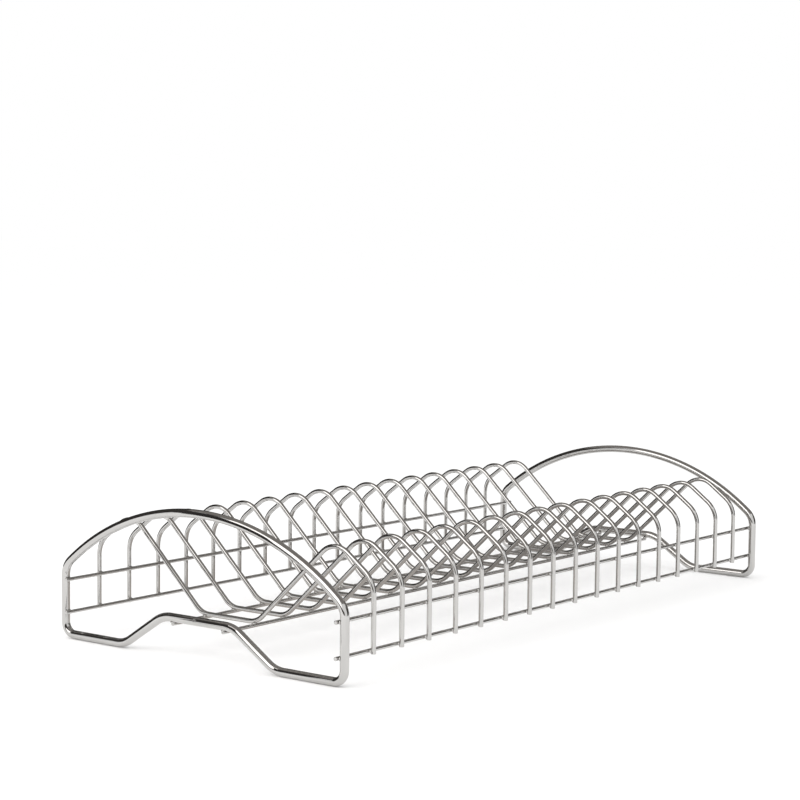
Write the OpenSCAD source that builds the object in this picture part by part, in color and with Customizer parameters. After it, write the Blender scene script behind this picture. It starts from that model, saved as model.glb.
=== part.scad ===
// Countertop plate rack, welded from round wire.
// X runs along the rack, Y across it, and Z up from the table.
// The two end frames and the dividers are each one wire bent in an upright plane.
// Six straight rails join them: two on each side and two under the cradle.

/* [Length] */
// Spacing of the dividers along the rack
pitch = 25; // [18:0.5:40]
// Number of dividers
divider_count = 17; // [5:1:29]
// Spacing from the last divider to the end frame
end_gap = 26; // [18:0.5:40]
// How far each side rail sticks out past the end frame's wire
side_rail_stub = 1; // [0.5:0.1:8]
// How far each bottom rail reaches past the middle of the end frame's wire
bottom_rail_lap = 0.5; // [0.2:0.1:6]

/* [Wire] */
// Diameter of the end frames' wire
frame_wire = 5; // [3.5:0.1:7]
// Diameter of the dividers' wire
divider_wire = 2.8; // [2:0.1:4]
// Diameter of the rails' wire
rail_wire = 2.2; // [1.6:0.1:4]
// Clearance between two wires where they are welded to each other
weld_gap = 0.05; // [0.02:0.01:0.2]

/* [End frame] */
// Distance between the centrelines of the two legs
leg_spread = 210.4; // [170:0.2:260]
// Height at which the straight part of a leg ends and the arch begins
leg_height = 37.2; // [30:0.2:46]
// Radius of the bend between leg and arch
shoulder_bend = 12; // [6:0.5:24]
// Radius of the arch
arch_radius = 158; // [125:1:300]
// Radius of the bend between leg and foot bar
foot_bend = 7; // [4:0.1:9]
// Distance between the inner ends of the two foot bars
foot_spread = 114; // [100:1:150]
// How far the raised bar reaches past each bottom rail before it slopes down
raised_bar_reach = 7.5; // [6.5:0.1:12]
// Radius of the bends at both ends of the slope between foot bar and raised bar
slope_bend = 20; // [5:0.5:22]

/* [Dividers] */
// Height of the lower corner of the hump above the upper side rail
hump_base = 18.4; // [14:0.1:30]
// Distance of the hump's top inward from the leg
hump_inset = 27.4; // [20:0.1:36]
// Height of the hump's top above its lower corner
hump_rise = 20.5; // [14:0.1:28]
// Radius of the bend between leg and hump
hump_base_bend = 16; // [5:0.5:20]
// Radius of the bend at the hump's top
hump_bend = 14; // [5:0.5:16]
// Distance between the two lower corners of the cradle
cradle_spread = 42; // [34:1:66]
// Height of the cradle's level stretch
cradle_height = 21; // [16:0.1:30]
// Radius of the bends at the cradle's lower corners
cradle_bend = 14; // [8:0.5:20]
// How far a leg reaches below the middle of the lower side rail
leg_tail = 1.7; // [1:0.1:6]

/* [Rails] */
// Height of the lower side rails
lower_rail_height = 15.6; // [11:0.1:20]
// Distance of the upper side rails below the top of the straight leg
upper_rail_drop = 2.2; // [0.5:0.1:8]
// Distance of each bottom rail inward from the cradle's lower corner
bottom_rail_inset = 2; // [0:0.1:6]

/* [Hidden] */
// Facets of the round wire, and of a full turn of a bend and of the arch
wire_facets = 24;
bend_facets = 96;
arch_facets = 360;

// A bend is drawn this much thicker than the straight wire and the arch, which are buried
// this far in it, so that each joint along a wire is a clean step too small to see
bend_step = 0.02;
bury = 0.05;

frame_r = frame_wire / 2;
divider_r = divider_wire / 2;
rail_r = rail_wire / 2;

first_divider_x = -pitch * (divider_count - 1) / 2;
frame_x = end_gap - first_divider_x;

// The side rails lie against the inside of the end frames' legs, and the dividers'
// legs lie against the outside of the same rails
leg_y = leg_spread / 2;
side_rail_y = leg_y - frame_r - weld_gap - rail_r;
divider_leg_y = side_rail_y + rail_r + weld_gap + divider_r;
upper_rail_height = leg_height - upper_rail_drop;
side_rail_length = 2 * (frame_x + frame_r + side_rail_stub);

// The arch meets the shoulder bend where both have the same centre line
arch_angle = acos((leg_y - shoulder_bend) / (arch_radius - shoulder_bend));
arch_centre = leg_height - (arch_radius - shoulder_bend) * sin(arch_angle);
arch_bury = bury / arch_radius * 180 / PI;

// Corners of a divider before its bends are rounded
hump_y = divider_leg_y - hump_inset;
hump_base_z = upper_rail_height + hump_base;
hump_z = hump_base_z + hump_rise;
cradle_y = cradle_spread / 2;
leg_end_z = lower_rail_height - leg_tail;

// The bottom rails lie under the round of the cradle's bends. The bend's centre stands
// above the end of the level stretch
cradle_slope = atan((hump_z - cradle_height) / (hump_y - cradle_y));
cradle_centre = [cradle_y - cradle_bend * tan(cradle_slope / 2), cradle_height + cradle_bend];
bottom_rail_y = cradle_y - bottom_rail_inset;
rail_to_centre = cradle_bend + divider_r + bend_step + weld_gap + rail_r;
rail_offset = max(0, bottom_rail_y - cradle_centre[0]);
bottom_rail_height = cradle_centre[1] - sqrt(pow(rail_to_centre, 2) - pow(rail_offset, 2));
bottom_rail_length = 2 * (frame_x + bottom_rail_lap);

// The raised bar of an end frame lies on the bottom rails, and the foot bars on the table
raised_bar_y = bottom_rail_y + raised_bar_reach;
raised_bar_z = bottom_rail_height + rail_r + weld_gap + frame_r;
foot_y = foot_spread / 2;
foot_z = frame_r + bend_step;

chrome = [0.80, 0.80, 0.81];

function divider_name(i) = str("divider_", i < 10 ? "0" : "", i);
function heading(p, q) = atan2(q[1] - p[1], q[0] - p[0]);
function turn(a, b) = (b - a + 540) % 360 - 180;
function along(angle) = [cos(angle), sin(angle)];

// Turn at corner i of a path, and what its bend takes off the straight on either side
function turn_at(path, i) = turn(heading(path[i - 1], path[i]), heading(path[i], path[i + 1]));
function trim_at(path, bends, i) =
    i == 0 || i == len(path) - 1 ? 0 : bends[i - 1] * tan(abs(turn_at(path, i)) / 2);

// Straight round wire from p to q in the flat plane of a bent wire
module straight_run(p, q, radius) {
    translate([p[0], p[1], 0])
        rotate([0, 90, heading(p, q)])
            cylinder(h = norm(q - p), r = radius, $fn = wire_facets);
}

// Round wire bent around a centre from one angle through a sweep
module bent_run(centre, bend, start, sweep, radius, facets = bend_facets) {
    translate([centre[0], centre[1], 0])
        rotate([0, 0, start])
            rotate_extrude(angle = sweep, $fn = facets)
                translate([bend, 0])
                    circle(r = radius, $fn = wire_facets);
}

// Wire that follows a path's corners, each rounded by its own bend radius.
// A straight run is buried in the bends on either side of it, and the path's own ends
// reach past it where another bend takes them
module bent_wire(path, bends, radius, end_bury = 0) {
    last = len(path) - 1;
    for (i = [0:last - 1]) {
        way = along(heading(path[i], path[i + 1]));
        first_bury = i == 0 ? end_bury : bury;
        last_bury = i == last - 1 ? end_bury : bury;
        straight_run(
            path[i] + way * (trim_at(path, bends, i) - first_bury),
            path[i + 1] - way * (trim_at(path, bends, i + 1) - last_bury),
            radius
        );
    }
    for (i = [1:last - 1]) {
        into = heading(path[i - 1], path[i]);
        sweep = turn_at(path, i);
        side = sign(sweep);
        start_point = path[i] - along(into) * trim_at(path, bends, i);
        centre = start_point + along(into + 90 * side) * bends[i - 1];
        start = side > 0 ? into - 90 : into + 90 + sweep;
        bent_run(centre, bends[i - 1], start, abs(sweep), radius + bend_step);
    }
}

// Stands a flat wire upright across the rack at x
module across_rack(x) {
    translate([x, 0, 0])
        rotate([90, 0, 90])
            children();
}

// Closed loop: legs, foot bars, slopes and raised bar, then two shoulders and the arch
module end_frame(x) {
    path = [
        [-leg_y, leg_height], [-leg_y, foot_z], [-foot_y, foot_z], [-raised_bar_y, raised_bar_z],
        [raised_bar_y, raised_bar_z], [foot_y, foot_z], [leg_y, foot_z], [leg_y, leg_height]
    ];
    bends = [foot_bend, slope_bend, slope_bend, slope_bend, slope_bend, foot_bend];
    arch_start = arch_angle - arch_bury;
    color(chrome) across_rack(x) {
        bent_wire(path, bends, frame_r, bury);
        shoulder(1, 0);
        shoulder(-1, 180 - arch_angle);
        bent_run([0, arch_centre], arch_radius, arch_start, 180 - 2 * arch_start, frame_r, arch_facets);
    }
}

// Bend between one leg and the arch, from its start angle
module shoulder(side, start) {
    centre = [side * (leg_y - shoulder_bend), leg_height];
    bent_run(centre, shoulder_bend, start, arch_angle, frame_r + bend_step);
}

// Open wire: a leg, a hump, the cradle, a second hump and a second leg
module divider(i) {
    path = [
        [-divider_leg_y, leg_end_z], [-divider_leg_y, hump_base_z], [-hump_y, hump_z],
        [-cradle_y, cradle_height], [cradle_y, cradle_height],
        [hump_y, hump_z], [divider_leg_y, hump_base_z], [divider_leg_y, leg_end_z]
    ];
    bends = [hump_base_bend, hump_bend, cradle_bend, cradle_bend, hump_bend, hump_base_bend];
    color(chrome) across_rack(first_divider_x + pitch * (i - 1))
        bent_wire(path, bends, divider_r);
}

// Straight wire along the rack, centred on its length
module rail(y, z, length) {
    color(chrome) translate([-length / 2, y, z])
        rotate([0, 90, 0])
            cylinder(h = length, r = rail_r, $fn = wire_facets);
}

module side_rail(side, z) {
    rail(side * side_rail_y, z, side_rail_length);
}

module bottom_rail(side) {
    rail(side * bottom_rail_y, bottom_rail_height, bottom_rail_length);
}

end_frame(-frame_x);  // front_end_frame
end_frame(frame_x);  // rear_end_frame
side_rail(1, upper_rail_height);  // upper_left_side_rail
side_rail(1, lower_rail_height);  // lower_left_side_rail
side_rail(-1, upper_rail_height);  // upper_right_side_rail
side_rail(-1, lower_rail_height);  // lower_right_side_rail
bottom_rail(1);  // left_bottom_rail
bottom_rail(-1);  // right_bottom_rail
for (i = [1:divider_count])
    divider(i);
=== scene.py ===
"""The plate rack as it looks: bright plated wire, spot-welded, on a plain white table.

The rack's sizes are in millimetres and are turned to metres where a mesh is made. The studio's
are in metres, apart from the camera's place. Angles of the studio are in degrees.
X runs along the rack, Y across it and Z up from the table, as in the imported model.
"""
import math

import bpy
import numpy as np
from mathutils import Matrix, Vector


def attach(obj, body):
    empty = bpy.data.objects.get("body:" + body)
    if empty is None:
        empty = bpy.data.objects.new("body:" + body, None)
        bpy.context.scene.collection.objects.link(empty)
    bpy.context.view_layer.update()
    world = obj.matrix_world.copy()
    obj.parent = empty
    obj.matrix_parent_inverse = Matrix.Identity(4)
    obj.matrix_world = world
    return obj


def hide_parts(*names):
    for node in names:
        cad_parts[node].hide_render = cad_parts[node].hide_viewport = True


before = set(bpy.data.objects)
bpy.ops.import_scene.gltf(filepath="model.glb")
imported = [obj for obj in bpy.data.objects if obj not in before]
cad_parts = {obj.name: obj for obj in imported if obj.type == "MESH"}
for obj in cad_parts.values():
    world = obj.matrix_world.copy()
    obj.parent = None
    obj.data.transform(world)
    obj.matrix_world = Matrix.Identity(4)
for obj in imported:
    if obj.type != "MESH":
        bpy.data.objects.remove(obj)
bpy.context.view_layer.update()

MM = 0.001

# Length of the rack
PITCH, DIVIDERS, END_GAP = 25.0, 17, 26.0
SIDE_RAIL_STUB, BOTTOM_RAIL_LAP = 1.0, 0.5

# Radii of the wires, the clearance where two are welded, how much thicker the CAD source draws
# a bend, and the rounding of a cut end's edge
FRAME_R, DIVIDER_R, RAIL_R = 2.5, 1.4, 1.1
WELD_GAP, BEND_STEP = 0.05, 0.02
CUT_EDGE = 0.3

# End frame
LEG_Y, LEG_TOP = 105.2, 37.2
SHOULDER_BEND, ARCH_RADIUS = 12.0, 158.0
FOOT_BEND, FOOT_Y, SLOPE_BEND = 7.0, 57.0, 20.0
RAISED_BAR_REACH = 7.5

# Dividers
HUMP_BASE, HUMP_INSET, HUMP_RISE = 18.4, 27.4, 20.5
HUMP_BASE_BEND, HUMP_BEND = 16.0, 14.0
CRADLE_Y, CRADLE_Z, CRADLE_BEND = 21.0, 21.0, 14.0
LEG_TAIL = 1.7

# Rails
LOWER_RAIL_Z, UPPER_RAIL_DROP, BOTTOM_RAIL_INSET = 15.6, 2.2, 2.0

# What follows from those sizes, as in the CAD source
FRAME_X = END_GAP + PITCH * (DIVIDERS - 1) / 2
DIVIDER_X = PITCH * (np.arange(DIVIDERS) - (DIVIDERS - 1) / 2)
SIDE_RAIL_Y = LEG_Y - FRAME_R - WELD_GAP - RAIL_R
DIVIDER_LEG_Y = SIDE_RAIL_Y + RAIL_R + WELD_GAP + DIVIDER_R
UPPER_RAIL_Z = LEG_TOP - UPPER_RAIL_DROP
SIDE_RAIL_END = FRAME_X + FRAME_R + SIDE_RAIL_STUB
BOTTOM_RAIL_END = FRAME_X + BOTTOM_RAIL_LAP
ARCH_ANGLE = math.acos((LEG_Y - SHOULDER_BEND) / (ARCH_RADIUS - SHOULDER_BEND))
ARCH_CENTRE_Z = LEG_TOP - (ARCH_RADIUS - SHOULDER_BEND) * math.sin(ARCH_ANGLE)
HUMP_Y = DIVIDER_LEG_Y - HUMP_INSET
HUMP_BASE_Z = UPPER_RAIL_Z + HUMP_BASE
HUMP_Z = HUMP_BASE_Z + HUMP_RISE
CRADLE_SLOPE = math.atan((HUMP_Z - CRADLE_Z) / (HUMP_Y - CRADLE_Y))
CRADLE_CENTRE_Y = CRADLE_Y - CRADLE_BEND * math.tan(CRADLE_SLOPE / 2)
CRADLE_CENTRE_Z = CRADLE_Z + CRADLE_BEND
BOTTOM_RAIL_Y = CRADLE_Y - BOTTOM_RAIL_INSET
RAIL_TO_CENTRE = CRADLE_BEND + DIVIDER_R + BEND_STEP + WELD_GAP + RAIL_R
RAIL_OFFSET = BOTTOM_RAIL_Y - CRADLE_CENTRE_Y
BOTTOM_RAIL_Z = CRADLE_CENTRE_Z - math.sqrt(RAIL_TO_CENTRE**2 - RAIL_OFFSET**2)
RAISED_BAR_Y = BOTTOM_RAIL_Y + RAISED_BAR_REACH
RAISED_BAR_Z = BOTTOM_RAIL_Z + RAIL_R + WELD_GAP + FRAME_R
FOOT_Z = FRAME_R + BEND_STEP

# How finely a wire is drawn: the longest step on a straight, the largest turn of a step in a
# bend and in the arch, the sides of thick and thin wire, and the rings of a rounded edge
STRAIGHT_STEP = 6.0
BEND_TURN, ARCH_TURN = math.radians(4.0), math.radians(1.5)
THICK_SIDES, THIN_SIDES = 32, 24
EDGE_RINGS = 4

# Half sizes of a weld bead along the rail, towards the crossing wire and across both
SIDE_BEAD, BOTTOM_BEAD = (1.75, 0.8, 1.3), (1.7, 0.8, 1.3)
BEAD_SIDES, BEAD_RINGS = 10, 5

# The closing weld's ring: its radius, half its thickness, how far its middle line stands off
# the bar, and its centre's place along the bar and round it from the outermost line
CLOSING_R, CLOSING_HALF, CLOSING_LIFT = 0.85, 0.22, 0.05
CLOSING_ALONG, CLOSING_ROUND = 0.7, 0.8
CLOSING_TURNS, CLOSING_SIDES = 28, 8

# Darkest and lightest colour of the plating on the wires and on the welds
CHROME_TONES = (0.515, 0.507, 0.495), (0.585, 0.578, 0.566)
WELD_TONES = (0.46, 0.452, 0.44), (0.62, 0.612, 0.60)

# Usual range of a noise texture's value
USUAL_NOISE = (0.3, 0.7)

# Heights of the drawn grain, of the waviness and of the welds' pits, in metres
GRAIN_HEIGHT, WAVE_HEIGHT, PIT_HEIGHT = 3e-6, 4e-5, 4e-5

# The photograph's camera, solved from the rack's equal spacings and its symmetry. It looks
# along its azimuth and downwards, and its focal length counts pixels of the photograph
CAMERA_PLACE = (-1068.05, -783.78, 243.98)
CAMERA_AZIMUTH, CAMERA_DOWN, CAMERA_ROLL = 37.389, 4.820, 0.568
FOCAL_PX, PHOTO_PX, SENSOR = 2081.97, 800.0, 36.0

# Studio
RACK_MIDDLE = Vector((0.0, 0.0, 0.04))
TABLE_WIDTH = 40.0
LAMP_COLOUR, CARD_COLOUR = (1.0, 0.97, 0.95), (1.0, 0.94, 0.89)
WHITE = (1.0, 1.0, 1.0, 1.0)
FORWARD, UPWARD = Vector((-1.0, 0.0, 0.0)), Vector((0.0, 0.0, 1.0))


# Centre lines

def straight(p, q):
    """Points from p towards q, q left out, at even steps, with the heading of the stretch."""
    p, q = np.array(p, float), np.array(q, float)
    count = max(2, math.ceil(np.linalg.norm(q - p) / STRAIGHT_STEP))
    share = np.arange(count)[:, None] / count
    heading = math.atan2(q[1] - p[1], q[0] - p[0])
    return np.column_stack([p + (q - p) * share, np.full(count, heading)])


def bend(centre, radius, start, sweep, turn=BEND_TURN):
    """Points on a circle from the start angle through the sweep, the last left out.

    The heading is the angle on the circle, a quarter turn on in the sense of the sweep.
    """
    count = max(2, math.ceil(abs(sweep) / turn))
    angle = start + sweep * np.arange(count) / count
    round_it = np.column_stack([np.cos(angle), np.sin(angle)])
    heading = angle + math.copysign(math.pi / 2, sweep)
    return np.column_stack([np.array(centre) + radius * round_it, heading])


def bent_line(corners, bends):
    """Straight stretches between corners, each inner corner rounded by its own bend.

    A bend of radius r through an angle a takes r times the tangent of a/2 off either side.
    """
    p = np.array(corners, float)
    way = np.diff(p, axis=0)
    heading = np.arctan2(way[:, 1], way[:, 0])
    turn = (np.diff(heading) + math.pi) % (2 * math.pi) - math.pi
    trim = np.concatenate([[0.0], np.array(bends) * np.tan(np.abs(turn) / 2), [0.0]])
    unit = way / np.linalg.norm(way, axis=1)[:, None]
    parts = []
    for i in range(len(way)):
        parts.append(straight(p[i] + unit[i] * trim[i], p[i + 1] - unit[i] * trim[i + 1]))
        if i < len(turn):
            side = math.copysign(1.0, turn[i])
            left = np.array([-unit[i][1], unit[i][0]]) * side
            centre = p[i + 1] - unit[i] * trim[i + 1] + left * bends[i]
            parts.append(bend(centre, bends[i], heading[i] - side * math.pi / 2, turn[i]))
    return parts


def end_point(corners):
    """The last corner of an open wire, with the heading of its last stretch."""
    (a, b), (c, d) = corners[-2:]
    return np.array([[c, d, math.atan2(d - b, c - a)]])


# Surfaces

def full_turn(count):
    """That many equal angles round a circle."""
    return np.arange(count) * 2 * math.pi / count


def grid_corners(rows, columns):
    """Row and column of the four corners of each cell of a grid, one cell to a line.

    The last cells' corners lie past the grid, for the caller to wrap round where it closes.
    """
    i, j = np.meshgrid(np.arange(rows), np.arange(columns), indexing="ij")
    row = np.stack([i, i + 1, i + 1, i], -1).reshape(-1, 4)
    column = np.stack([j, j, j + 1, j + 1], -1).reshape(-1, 4)
    return row, column


def pole_caps(rings, sides):
    """Triangles from the first and last ring to the two points numbered after all rings."""
    j = np.arange(sides)
    after = (j + 1) % sides
    last = (rings - 1) * sides
    pole = np.full(sides, rings * sides)
    low = np.column_stack([pole, j, after])
    high = np.column_stack([pole + 1, last + after, last + j])
    return np.concatenate([low, high])


def closed_mesh(name, points, faces, along_uv, material):
    """A smooth mesh of quads and triangles from whole arrays, linked as a piece of its own.

    points: one row a vertex, in metres. faces: arrays of corner numbers, three or four wide.
    along_uv: one row a face corner, metres along the wire and share of a turn round it, or None.
    """
    mesh = bpy.data.meshes.new(name)
    loops = np.concatenate([f.ravel() for f in faces])
    widths = np.concatenate([np.full(len(f), f.shape[1]) for f in faces])
    starts = np.concatenate([[0], np.cumsum(widths)[:-1]])
    mesh.vertices.add(len(points))
    mesh.vertices.foreach_set("co", points.astype(np.float32).ravel())
    mesh.loops.add(len(loops))
    mesh.loops.foreach_set("vertex_index", loops.astype(np.int32))
    mesh.polygons.add(len(widths))
    mesh.polygons.foreach_set("loop_start", starts.astype(np.int32))
    mesh.update(calc_edges=True)
    mesh.polygons.foreach_set("use_smooth", np.ones(len(widths), bool))
    if along_uv is not None:
        layer = mesh.uv_layers.new(name="along_and_round")
        layer.data.foreach_set("uv", along_uv.astype(np.float32).ravel())
    mesh.validate()
    mesh.materials.append(material)
    piece = bpy.data.objects.new(name, mesh)
    bpy.context.scene.collection.objects.link(piece)
    return piece


def with_cut_ends(centre, ahead, normal, radius):
    """Centre, normal and radius of each ring of an open wire whose cut ends are rounded.

    At each end the edge is a quarter circle: at angle a its ring lies 1 - sin a edges inside
    the end, and is 1 - cos a edges smaller than the wire.
    """
    a = np.linspace(0, math.pi / 2, EDGE_RINGS)
    inset = CUT_EDGE * (1 - np.sin(a))[:, None]
    small = radius - CUT_EDGE * (1 - np.cos(a))
    centre = np.concatenate([
        centre[0] + inset[::-1] * ahead[0], centre[1:-1], centre[-1] - inset * ahead[-1],
    ])
    normal = np.concatenate([
        np.repeat(normal[:1], EDGE_RINGS, 0), normal[1:-1], np.repeat(normal[-1:], EDGE_RINGS, 0),
    ])
    even = np.full(len(centre) - 2 * EDGE_RINGS, radius)
    return centre, normal, np.concatenate([small[::-1], even, small])


def tube(name, line, radius, sides, plane, closed, material):
    """Round wire: a circle carried along a flat line, square to it at every point.

    line: rows of two coordinates in the wire's own plane and the heading there, in mm.
    plane: origin, the two axes of that plane, and the axis square to it.
    At angle t a ring's point is centre + radius (cos t times the in-plane normal
    + sin t times the plane's axis). An open wire is closed to a point in each cut end's middle.
    """
    origin, first, second, across = (np.array(v, float) for v in plane)
    centre = origin + line[:, :1] * first + line[:, 1:2] * second
    ahead = np.cos(line[:, 2:]) * first + np.sin(line[:, 2:]) * second
    normal = -np.sin(line[:, 2:]) * first + np.cos(line[:, 2:]) * second
    size = np.full(len(line), radius)
    if not closed:
        centre, normal, size = with_cut_ends(centre, ahead, normal, radius)
    t = full_turn(sides)
    spoke = (np.cos(t)[None, :, None] * normal[:, None, :]
             + np.sin(t)[None, :, None] * across[None, None, :])
    points = (centre[:, None, :] + size[:, None, None] * spoke).reshape(-1, 3)
    rings = len(centre)
    step = np.linalg.norm(np.diff(centre, axis=0, append=centre[:1]), axis=1)
    length = np.concatenate([[0.0], np.cumsum(step)])
    i, j = grid_corners(rings if closed else rings - 1, sides)
    faces = [(i % rings) * sides + j % sides]
    along_uv = [np.stack([length[i] * MM, j / sides], -1).reshape(-1, 2)]
    if not closed:
        points = np.concatenate([points, centre[:1], centre[-1:]])
        faces.append(pole_caps(rings, sides))
        cap_length = np.repeat([0.0, length[rings - 1] * MM], 3 * sides)
        along_uv.append(np.column_stack([cap_length, np.zeros(6 * sides)]))
    return closed_mesh(name, points * MM, faces, np.concatenate(along_uv), material)


# Wires

def across_rack(x):
    """The upright plane across the rack at x: Y and Z in it, X square to it."""
    return (x, 0, 0), (0, 1, 0), (0, 0, 1), (1, 0, 0)


def along_rack(y, z):
    """The upright plane along the rack at y and z: X and Z in it, minus Y square to it."""
    return (0, y, z), (1, 0, 0), (0, 0, 1), (0, -1, 0)


def end_frame(name, x, material):
    """Closed loop of thick wire: legs, foot bars, slopes, raised bar, shoulders and arch."""
    corners = [
        (-LEG_Y, LEG_TOP), (-LEG_Y, FOOT_Z), (-FOOT_Y, FOOT_Z), (-RAISED_BAR_Y, RAISED_BAR_Z),
        (RAISED_BAR_Y, RAISED_BAR_Z), (FOOT_Y, FOOT_Z), (LEG_Y, FOOT_Z), (LEG_Y, LEG_TOP),
    ]
    bends = [FOOT_BEND, SLOPE_BEND, SLOPE_BEND, SLOPE_BEND, SLOPE_BEND, FOOT_BEND]
    shoulder_y = LEG_Y - SHOULDER_BEND
    arch_sweep = math.pi - 2 * ARCH_ANGLE
    parts = bent_line(corners, bends) + [
        bend((shoulder_y, LEG_TOP), SHOULDER_BEND, 0.0, ARCH_ANGLE),
        bend((0, ARCH_CENTRE_Z), ARCH_RADIUS, ARCH_ANGLE, arch_sweep, ARCH_TURN),
        bend((-shoulder_y, LEG_TOP), SHOULDER_BEND, math.pi - ARCH_ANGLE, ARCH_ANGLE),
    ]
    line = np.concatenate(parts)
    return tube(name, line, FRAME_R, THICK_SIDES, across_rack(x), True, material)


def divider(name, x, material):
    """Open wire: a leg, a hump, the cradle, a second hump and a second leg."""
    leg_end = LOWER_RAIL_Z - LEG_TAIL
    corners = [
        (-DIVIDER_LEG_Y, leg_end), (-DIVIDER_LEG_Y, HUMP_BASE_Z), (-HUMP_Y, HUMP_Z),
        (-CRADLE_Y, CRADLE_Z), (CRADLE_Y, CRADLE_Z),
        (HUMP_Y, HUMP_Z), (DIVIDER_LEG_Y, HUMP_BASE_Z), (DIVIDER_LEG_Y, leg_end),
    ]
    bends = [HUMP_BASE_BEND, HUMP_BEND, CRADLE_BEND, CRADLE_BEND, HUMP_BEND, HUMP_BASE_BEND]
    line = np.concatenate(bent_line(corners, bends) + [end_point(corners)])
    return tube(name, line, DIVIDER_R, THIN_SIDES, across_rack(x), False, material)


def rail(name, y, z, end, material):
    """Straight wire along the rack, from minus to plus its end."""
    corners = [(-end, 0), (end, 0)]
    line = np.concatenate([straight(*corners), end_point(corners)])
    return tube(name, line, RAIL_R, THIN_SIDES, along_rack(y, z), False, material)


# Welds

def weld_beads(name, centres, normal, halves, phase, material):
    """The flattened bead of each spot weld along one rail, all in one mesh.

    centres: one row a bead, in mm. normal: from the rail towards the crossing wire. halves: half
    sizes along the rail, along the normal and across both. Bead k is 1 + 0.12 sin(2.3 k + phase)
    times those. At turn t and lift e its point is centre + swell (cos e cos t, cos e sin t, sin e)
    times the half sizes, with swell = 1 + 0.07 sin(3 t + 1.9 k) + 0.05 sin(2 e + k).
    """
    centres, normal = np.array(centres), np.array(normal, float)
    ahead = np.array([1.0, 0.0, 0.0])
    side = np.cross(ahead, normal)
    k = np.arange(len(centres))[:, None, None]
    t = full_turn(BEAD_SIDES)[None, None, :]
    e = np.linspace(-math.pi / 2, math.pi / 2, BEAD_RINGS + 2)[None, 1:-1, None]
    size = 1 + 0.12 * np.sin(2.3 * k + phase)
    swell = size * (1 + 0.07 * np.sin(3 * t + 1.9 * k) + 0.05 * np.sin(2 * e + k))
    grid = (centres[:, None, None, :]
            + (swell * np.cos(e) * np.cos(t) * halves[0])[..., None] * ahead
            + (swell * np.cos(e) * np.sin(t) * halves[1])[..., None] * normal
            + (swell * np.sin(e) * halves[2])[..., None] * side)
    reach = size[:, 0] * halves[2] * side
    poles = np.stack([centres - reach, centres + reach], 1)
    points = np.concatenate([grid.reshape(len(centres), -1, 3), poles], 1)
    j, i = grid_corners(BEAD_SIDES, BEAD_RINGS - 1)
    quads = i * BEAD_SIDES + j % BEAD_SIDES
    caps = pole_caps(BEAD_RINGS, BEAD_SIDES)[:, ::-1]
    shift = points.shape[1] * np.arange(len(centres))[:, None, None]
    faces = [(f[None] + shift).reshape(-1, f.shape[1]) for f in (quads, caps)]
    return closed_mesh(name, points.reshape(-1, 3) * MM, faces, None, material)


def side_rail_welds(name, sign, z, material):
    """Beads between a side rail and each divider's leg, and the two end frames' legs."""
    x = np.concatenate([[-FRAME_X], DIVIDER_X, [FRAME_X]])
    y = sign * (SIDE_RAIL_Y + RAIL_R + WELD_GAP / 2)
    centres = np.column_stack([x, np.full(len(x), y), np.full(len(x), z)])
    return weld_beads(name, centres, (0, sign, 0), SIDE_BEAD, sign + 0.1 * z, material)


def bottom_rail_welds(name, sign, material):
    """Beads between a bottom rail and each divider's cradle bend, and the two raised bars."""
    centre = np.array([CRADLE_CENTRE_Y, CRADLE_CENTRE_Z])
    way = np.array([RAIL_OFFSET, BOTTOM_RAIL_Z - CRADLE_CENTRE_Z]) / RAIL_TO_CENTRE
    y, z = centre + way * (RAIL_TO_CENTRE - RAIL_R - WELD_GAP / 2)
    under_bends = [[x, sign * y, z] for x in DIVIDER_X]
    bar_z = BOTTOM_RAIL_Z + RAIL_R + WELD_GAP / 2
    front_bar, rear_bar = ([x, sign * BOTTOM_RAIL_Y, bar_z] for x in (-FRAME_X, FRAME_X))
    centres = [front_bar, *under_bends, rear_bar]
    normal = (0, -sign * way[0], -way[1])
    return weld_beads(name, centres, normal, BOTTOM_BEAD, 2.0 * sign, material)


def closing_weld(name, end, material):
    """Small raised ring where an end frame's wire closes on itself, in the raised bar's middle.

    At turn t round the ring and angle b round its bead, the point lies r cos t along the bar and
    an arc of r sin t round it from the ring's centre, with r = radius + half cos b, and stands
    lift + half sin b off the bar's surface.
    """
    t, b = full_turn(CLOSING_TURNS)[:, None], full_turn(CLOSING_SIDES)[None, :]
    r = CLOSING_R + CLOSING_HALF * np.cos(b)
    y, arc = CLOSING_ALONG + r * np.cos(t), CLOSING_ROUND + r * np.sin(t)
    height = FRAME_R + CLOSING_LIFT + CLOSING_HALF * np.sin(b) + 0 * t
    x = end * (FRAME_X + height * np.cos(arc / FRAME_R))
    z = RAISED_BAR_Z + height * np.sin(arc / FRAME_R)
    points = np.stack([x, y, z], -1).reshape(-1, 3)
    i, j = grid_corners(CLOSING_TURNS, CLOSING_SIDES)
    quads = (i % CLOSING_TURNS) * CLOSING_SIDES + j % CLOSING_SIDES
    outward = quads if end > 0 else quads[:, ::-1]
    return closed_mesh(name, points * MM, [outward], None, material)


# Finishes

def maths(tree, operation, first, second=None):
    """A math node on two sockets or numbers. Returns its result."""
    node = tree.nodes.new("ShaderNodeMath")
    node.operation = operation
    for socket, value in zip(node.inputs, (first, second)):
        if isinstance(value, bpy.types.NodeSocket):
            tree.links.new(value, socket)
        elif value is not None:
            socket.default_value = value
    return node.outputs["Value"]


def noise(tree, vector, detail, scale=1.0):
    """A noise texture's value at a vector."""
    node = tree.nodes.new("ShaderNodeTexNoise")
    node.inputs["Scale"].default_value = scale
    node.inputs["Detail"].default_value = detail
    tree.links.new(vector, node.inputs["Vector"])
    return node.outputs["Fac"]


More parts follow.
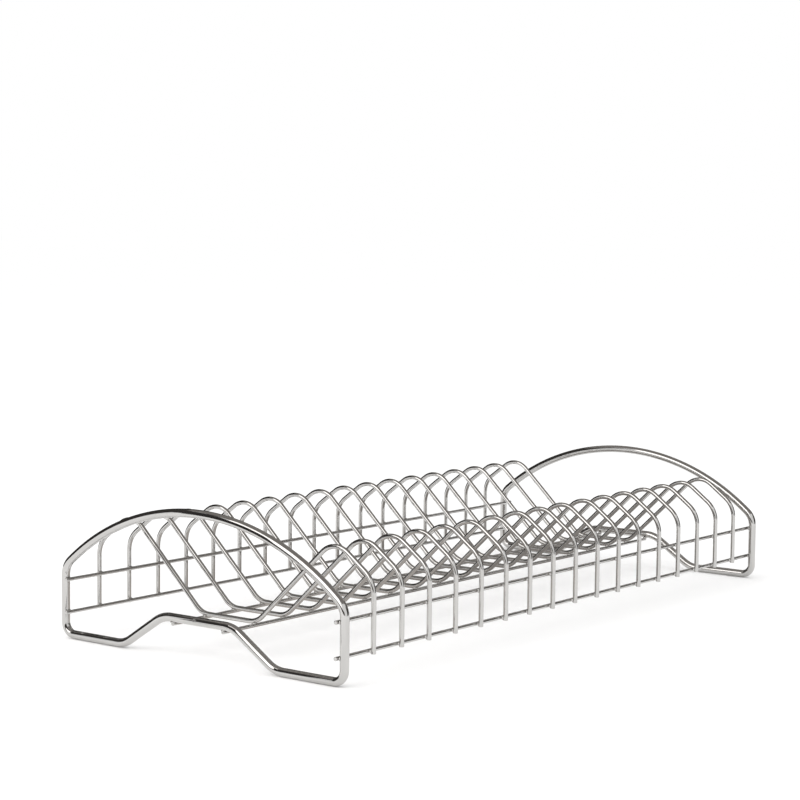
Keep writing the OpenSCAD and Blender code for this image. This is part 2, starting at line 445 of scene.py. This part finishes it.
def spread(tree, value, low, high):
    """A noise value's usual range mapped to low and high."""
    node = tree.nodes.new("ShaderNodeMapRange")
    sockets = ("From Min", "From Max", "To Min", "To Max")
    for socket, number in zip(sockets, (*USUAL_NOISE, low, high)):
        node.inputs[socket].default_value = number
    tree.links.new(value, node.inputs["Value"])
    return node.outputs["Result"]


def tint(tree, value, dark, light):
    """A colour between dark and light by a noise value."""
    ramp = tree.nodes.new("ShaderNodeValToRGB")
    for stop, position, colour in zip(ramp.color_ramp.elements, USUAL_NOISE, (dark, light)):
        stop.position, stop.color = position, (*colour, 1.0)
    tree.links.new(value, ramp.inputs["Fac"])
    return ramp.outputs["Color"]


def bump(tree, height, distance, under=None):
    """A bump of that many metres for a height of 1, laid over another bump if there is one."""
    node = tree.nodes.new("ShaderNodeBump")
    node.inputs["Strength"].default_value = 1.0
    node.inputs["Distance"].default_value = distance
    tree.links.new(height, node.inputs["Height"])
    if under is not None:
        tree.links.new(under, node.inputs["Normal"])
    return node.outputs["Normal"]


def metal(name):
    """A metal of that name, with its nodes and its shader."""
    material = bpy.data.materials.new(name)
    material.use_nodes = True
    shader = material.node_tree.nodes["Principled BSDF"]
    shader.inputs["Metallic"].default_value = 1.0
    return material, material.node_tree, shader


def bright_chrome():
    """Plated wire: near-mirror chromium with a fine grain drawn along it and a soft waviness.

    Both are noise read at (r cos a, r sin a, s u) for the angle a round the wire and the length u
    along it, so they close round the wire with no seam.
    """
    material, tree, shader = metal("bright_chrome")
    wire_map = tree.nodes.new("ShaderNodeUVMap")
    wire_map.uv_map = "along_and_round"
    split = tree.nodes.new("ShaderNodeSeparateXYZ")
    tree.links.new(wire_map.outputs["UV"], split.inputs["Vector"])
    length = split.outputs["X"]
    angle = maths(tree, "MULTIPLY", split.outputs["Y"], 2 * math.pi)
    cosine, sine = maths(tree, "COSINE", angle), maths(tree, "SINE", angle)

    def on_wire(r, s):
        """The vector at which a noise with that r and s is read."""
        join = tree.nodes.new("ShaderNodeCombineXYZ")
        for axis, value, factor in (("X", cosine, r), ("Y", sine, r), ("Z", length, s)):
            tree.links.new(maths(tree, "MULTIPLY", value, factor), join.inputs[axis])
        return join.outputs["Vector"]

    grain = noise(tree, on_wire(r=9.0, s=45.0), detail=2.0)
    wave = noise(tree, on_wire(r=0.7, s=90.0), detail=1.0)
    cloud = noise(tree, on_wire(r=0.5, s=30.0), detail=3.0)
    roughness = spread(tree, grain, low=0.045, high=0.10)
    relief = bump(tree, grain, GRAIN_HEIGHT, under=bump(tree, wave, WAVE_HEIGHT))
    tree.links.new(tint(tree, cloud, *CHROME_TONES), shader.inputs["Base Color"])
    tree.links.new(roughness, shader.inputs["Roughness"])
    tree.links.new(relief, shader.inputs["Normal"])
    return material


def weld_chrome():
    """Plating over a weld bead: the same chromium, duller and finely pitted."""
    material, tree, shader = metal("weld_chrome")
    place_on_bead = tree.nodes.new("ShaderNodeTexCoord").outputs["Object"]
    pits = noise(tree, place_on_bead, detail=2.0, scale=1500.0)
    tree.links.new(tint(tree, pits, *WELD_TONES), shader.inputs["Base Color"])
    tree.links.new(spread(tree, pits, low=0.16, high=0.28), shader.inputs["Roughness"])
    tree.links.new(bump(tree, pits, PIT_HEIGHT), shader.inputs["Normal"])
    return material


# Camera, table and light

def direction(azimuth, elevation):
    """The way from the rack at that azimuth from plus X towards plus Y, and that elevation."""
    a, e = math.radians(azimuth), math.radians(elevation)
    return Vector((math.cos(a) * math.cos(e), math.sin(a) * math.cos(e), math.sin(e)))


def camera():
    """The photograph's camera, its own axes turned by the roll about the way it looks."""
    ahead = direction(CAMERA_AZIMUTH, -CAMERA_DOWN)
    azimuth, roll = math.radians(CAMERA_AZIMUTH), math.radians(CAMERA_ROLL)
    right = Vector((math.sin(azimuth), -math.cos(azimuth), 0.0))
    up = right.cross(ahead)
    across = math.cos(roll) * right + math.sin(roll) * up
    upward = -math.sin(roll) * right + math.cos(roll) * up
    lens = bpy.data.cameras.new("camera")
    lens.sensor_width = SENSOR
    lens.lens = FOCAL_PX / PHOTO_PX * SENSOR
    lens.clip_start, lens.clip_end = 0.01, 200.0
    view = bpy.data.objects.new("camera", lens)
    bpy.context.scene.collection.objects.link(view)
    turn = Matrix((across, upward, -ahead)).transposed().to_4x4()
    view.matrix_world = Matrix.Translation(Vector(CAMERA_PLACE) * MM) @ turn
    bpy.context.scene.camera = view


def place(obj, point, way, turn=0.0):
    """Puts a lamp or card at that point, square to that way, turned in its own plane."""
    facing = way.to_track_quat("Z", "Y").to_matrix().to_4x4()
    spin = Matrix.Rotation(math.radians(turn), 4, "Z")
    obj.matrix_world = Matrix.Translation(point) @ facing @ spin


def rectangle(name, width, height, material):
    """A flat rectangle round the origin, linked to the scene."""
    x, y = width / 2, height / 2
    mesh = bpy.data.meshes.new(name)
    mesh.from_pydata([(-x, -y, 0), (x, -y, 0), (x, y, 0), (-x, y, 0)], [], [(0, 1, 2, 3)])
    mesh.materials.append(material)
    obj = bpy.data.objects.new(name, mesh)
    bpy.context.scene.collection.objects.link(obj)
    return obj


def white_world():
    """White all round, for the light, the view and the reflections alike."""
    world = bpy.data.worlds.new("white_studio")
    bpy.context.scene.world = world
    world.use_nodes = True
    background = world.node_tree.nodes["Background"]
    background.inputs["Color"].default_value = WHITE
    background.inputs["Strength"].default_value = 1.0


def white_table():
    """A wide white table that keeps the rack's shadow."""
    material = bpy.data.materials.new("white_table")
    material.use_nodes = True
    shader = material.node_tree.nodes["Principled BSDF"]
    shader.inputs["Base Color"].default_value = WHITE
    shader.inputs["Roughness"].default_value = 0.8
    shader.inputs["Specular IOR Level"].default_value = 0.0
    rectangle("white_table", TABLE_WIDTH, TABLE_WIDTH, material)


def softbox(name, azimuth, elevation, distance, width, height, watts):
    """A rectangular soft lamp that faces the rack, kept out of the camera's own sight."""
    lamp = bpy.data.lights.new(name, "AREA")
    lamp.shape = "RECTANGLE"
    lamp.size, lamp.size_y = width, height
    lamp.energy = watts
    lamp.color = LAMP_COLOUR
    obj = bpy.data.objects.new(name, lamp)
    bpy.context.scene.collection.objects.link(obj)
    way = direction(azimuth, elevation)
    place(obj, RACK_MIDDLE + way * distance, way)
    obj.visible_camera = False


def card(name, width, height, low_tone, high_tone):
    """A warm grey glowing card that only reflections see, as a studio stands its cards round
    chrome: the chrome shows it as a painted reflection, and it lights and shades nothing.

    Its tone runs evenly from its lower to its upper edge.
    """
    material = bpy.data.materials.new(name)
    material.use_nodes = True
    tree = material.node_tree
    tree.nodes.clear()
    split = tree.nodes.new("ShaderNodeSeparateXYZ")
    across_card = tree.nodes.new("ShaderNodeTexCoord").outputs["Generated"]
    tree.links.new(across_card, split.inputs["Vector"])
    rise = maths(tree, "MULTIPLY", split.outputs["Y"], high_tone - low_tone)
    glow = tree.nodes.new("ShaderNodeEmission")
    glow.inputs["Color"].default_value = (*CARD_COLOUR, 1.0)
    tree.links.new(maths(tree, "ADD", rise, low_tone), glow.inputs["Strength"])
    out = tree.nodes.new("ShaderNodeOutputMaterial")
    tree.links.new(glow.outputs["Emission"], out.inputs["Surface"])
    obj = rectangle(name, width, height, material)
    # Hidden from the camera, from diffuse light and from shadows, so it only paints a reflection
    obj.visible_camera = obj.visible_diffuse = obj.visible_shadow = False
    return obj


def cards_around():
    """Large cards that face the rack, each named for the side on which it stands. They paint the
    dark and grey of a studio into the chrome's reflections.
    """
    cards = (
        # Name, azimuth, elevation, distance, width, height, lower and upper tone
        ("dark_card_left", 91.0, 21.5, 0.9, 1.80, 0.82, 0.03, 0.06),
        ("dark_card_front", -175.0, 4.5, 1.9, 2.86, 0.37, 0.10, 0.10),
        ("grey_card_back", 33.0, 21.0, 2.5, 2.4, 2.3, 0.18, 0.32),
        ("grey_card_right", -33.0, 17.0, 2.6, 4.85, 1.9, 0.0, 0.22),
        ("grey_ceiling", 0.0, 85.0, 3.2, 6.6, 6.6, 0.28, 0.28),
    )
    for name, azimuth, elevation, distance, width, height, low_tone, high_tone in cards:
        way = direction(azimuth, elevation)
        obj = card(name, width, height, low_tone, high_tone)
        place(obj, RACK_MIDDLE + way * distance, way)


def cards_near():
    """Small cards of one tone: two stand before the front end frame, and three lie on the table.

    Those in front paint narrow dark reflections into the near frame. The two under the rack are
    painted shade: they darken the table where the wires reflect it, though nothing there casts it.
    """
    cards = (
        # Name, width, height, tone, centre, the way that it is square to, and turn
        # Painted dark reflections: these show only as narrow dark lines in the near frame
        ("small_dark_card_upright", 0.103, 0.128, 0.04, (-0.330, 0.0535, 0.086), FORWARD, 0.0),
        ("small_dark_card_slanted", 0.076, 0.170, 0.05, (-0.331, 0.105, 0.150), FORWARD, 34.0),
        ("small_dark_card_flat", 0.020, 0.072, 0.02, (-0.293, 0.026, 0.0006), UPWARD, 0.0),
        # Painted shade on the table under the rack, seen only in the wires' reflections
        ("painted_shade_under_front", 0.145, 0.150, 0.60, (-0.1325, 0.005, 0.0006), UPWARD, 0.0),
        ("painted_shade_under_back", 0.270, 0.155, 0.35, (0.075, 0.0025, 0.0006), UPWARD, 0.0),
    )
    for name, width, height, tone, centre, way, turn in cards:
        place(card(name, width, height, tone, tone), Vector(centre), way, turn)


# The rack

chrome = bright_chrome()
wires = {
    "front_end_frame": end_frame("front_end_frame_wire", -FRAME_X, chrome),
    "rear_end_frame": end_frame("rear_end_frame_wire", FRAME_X, chrome),
}
for side, sign in (("left", 1), ("right", -1)):
    for node, y, z, end in (
        (f"upper_{side}_side_rail", SIDE_RAIL_Y, UPPER_RAIL_Z, SIDE_RAIL_END),
        (f"lower_{side}_side_rail", SIDE_RAIL_Y, LOWER_RAIL_Z, SIDE_RAIL_END),
        (f"{side}_bottom_rail", BOTTOM_RAIL_Y, BOTTOM_RAIL_Z, BOTTOM_RAIL_END),
    ):
        wires[node] = rail(f"{node}_wire", sign * y, z, end, chrome)
for number, x in enumerate(DIVIDER_X, start=1):
    node = f"divider_{number:02d}"
    wires[node] = divider(f"{node}_wire", x, chrome)
for node, wire in wires.items():
    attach(wire, "root")
    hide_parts(node)

dull = weld_chrome()
welds = [closing_weld("front_closing_weld", -1, dull), closing_weld("rear_closing_weld", 1, dull)]
for side, sign in (("left", 1), ("right", -1)):
    welds += [
        side_rail_welds(f"upper_{side}_side_rail_welds", sign, UPPER_RAIL_Z, dull),
        side_rail_welds(f"lower_{side}_side_rail_welds", sign, LOWER_RAIL_Z, dull),
        bottom_rail_welds(f"{side}_bottom_rail_welds", sign, dull),
    ]
for weld in welds:
    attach(weld, "root")

camera()
white_world()
white_table()
softbox("soft_lamp_front_left", azimuth=172.0, elevation=33.0, distance=2.0,
        width=1.75, height=1.6, watts=14.0)
cards_around()
cards_near()
bpy.context.scene.view_settings.view_transform = "Standard"
